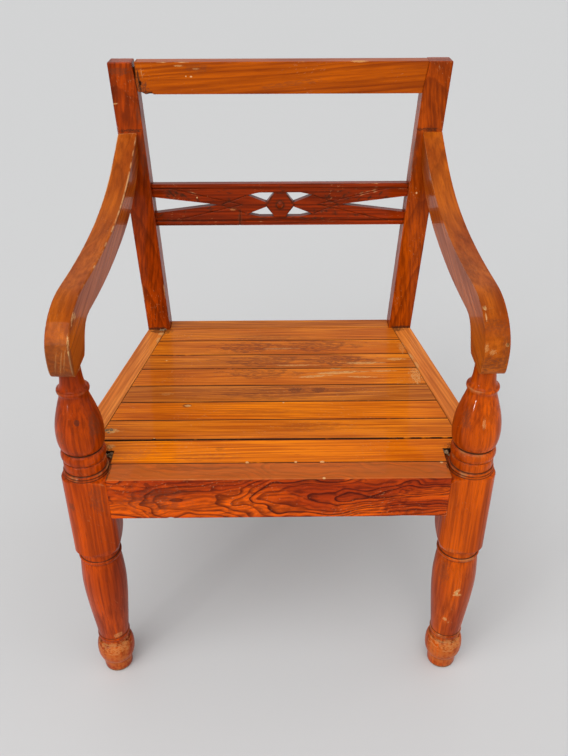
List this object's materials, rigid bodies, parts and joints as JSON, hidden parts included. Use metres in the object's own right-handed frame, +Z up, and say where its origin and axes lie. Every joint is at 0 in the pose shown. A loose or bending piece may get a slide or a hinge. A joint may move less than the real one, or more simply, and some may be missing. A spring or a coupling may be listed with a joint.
{
  "type": "broken wooden armchair",
  "caption": "Low slatted wooden armchair with turned front legs, swept arms, raked back posts, a pierced splat and an open top-rail joint.",
  "frame": {"origin": "on the floor, midway between the feet and midway between the front of the arms and the back of the posts", "axes": "+Z up, the chair faces -Y, +X is the right-hand side as seen from the front"},
  "size_m": [0.615, 0.5234, 0.88],
  "materials": {
    "leg_wood": "glossy varnish",
    "post_wood": "glossy varnish",
    "rail_wood": "glossy varnish",
    "arm_wood": "glossy varnish",
    "slat_wood_gold": "worn varnish",
    "slat_wood_red": "worn varnish",
    "screw_steel": "plain"
  },
  "bodies": {
    "root": {"front_leg_left": "leg_wood", "front_leg_right": "leg_wood", "rear_post_left": "post_wood", "rear_post_right": "post_wood", "front_rail": "rail_wood", "side_rail_left": "rail_wood", "side_rail_right": "rail_wood", "rear_rail": "rail_wood", "slat_1": "slat_wood_gold", "slat_2": "slat_wood_red", "slat_3": "slat_wood_gold", "slat_4": "slat_wood_red", "slat_5": "slat_wood_gold", "slat_6": "slat_wood_red", "slat_7": "slat_wood_gold", "slat_8": "slat_wood_red", "ledger_left": "rail_wood", "ledger_right": "rail_wood", "centre_bearer": "rail_wood", "seat_screws": "screw_steel", "arm_left": "arm_wood", "arm_right": "arm_wood", "top_rail": "rail_wood", "back_splat": "post_wood"}
  },
  "joints": []
}
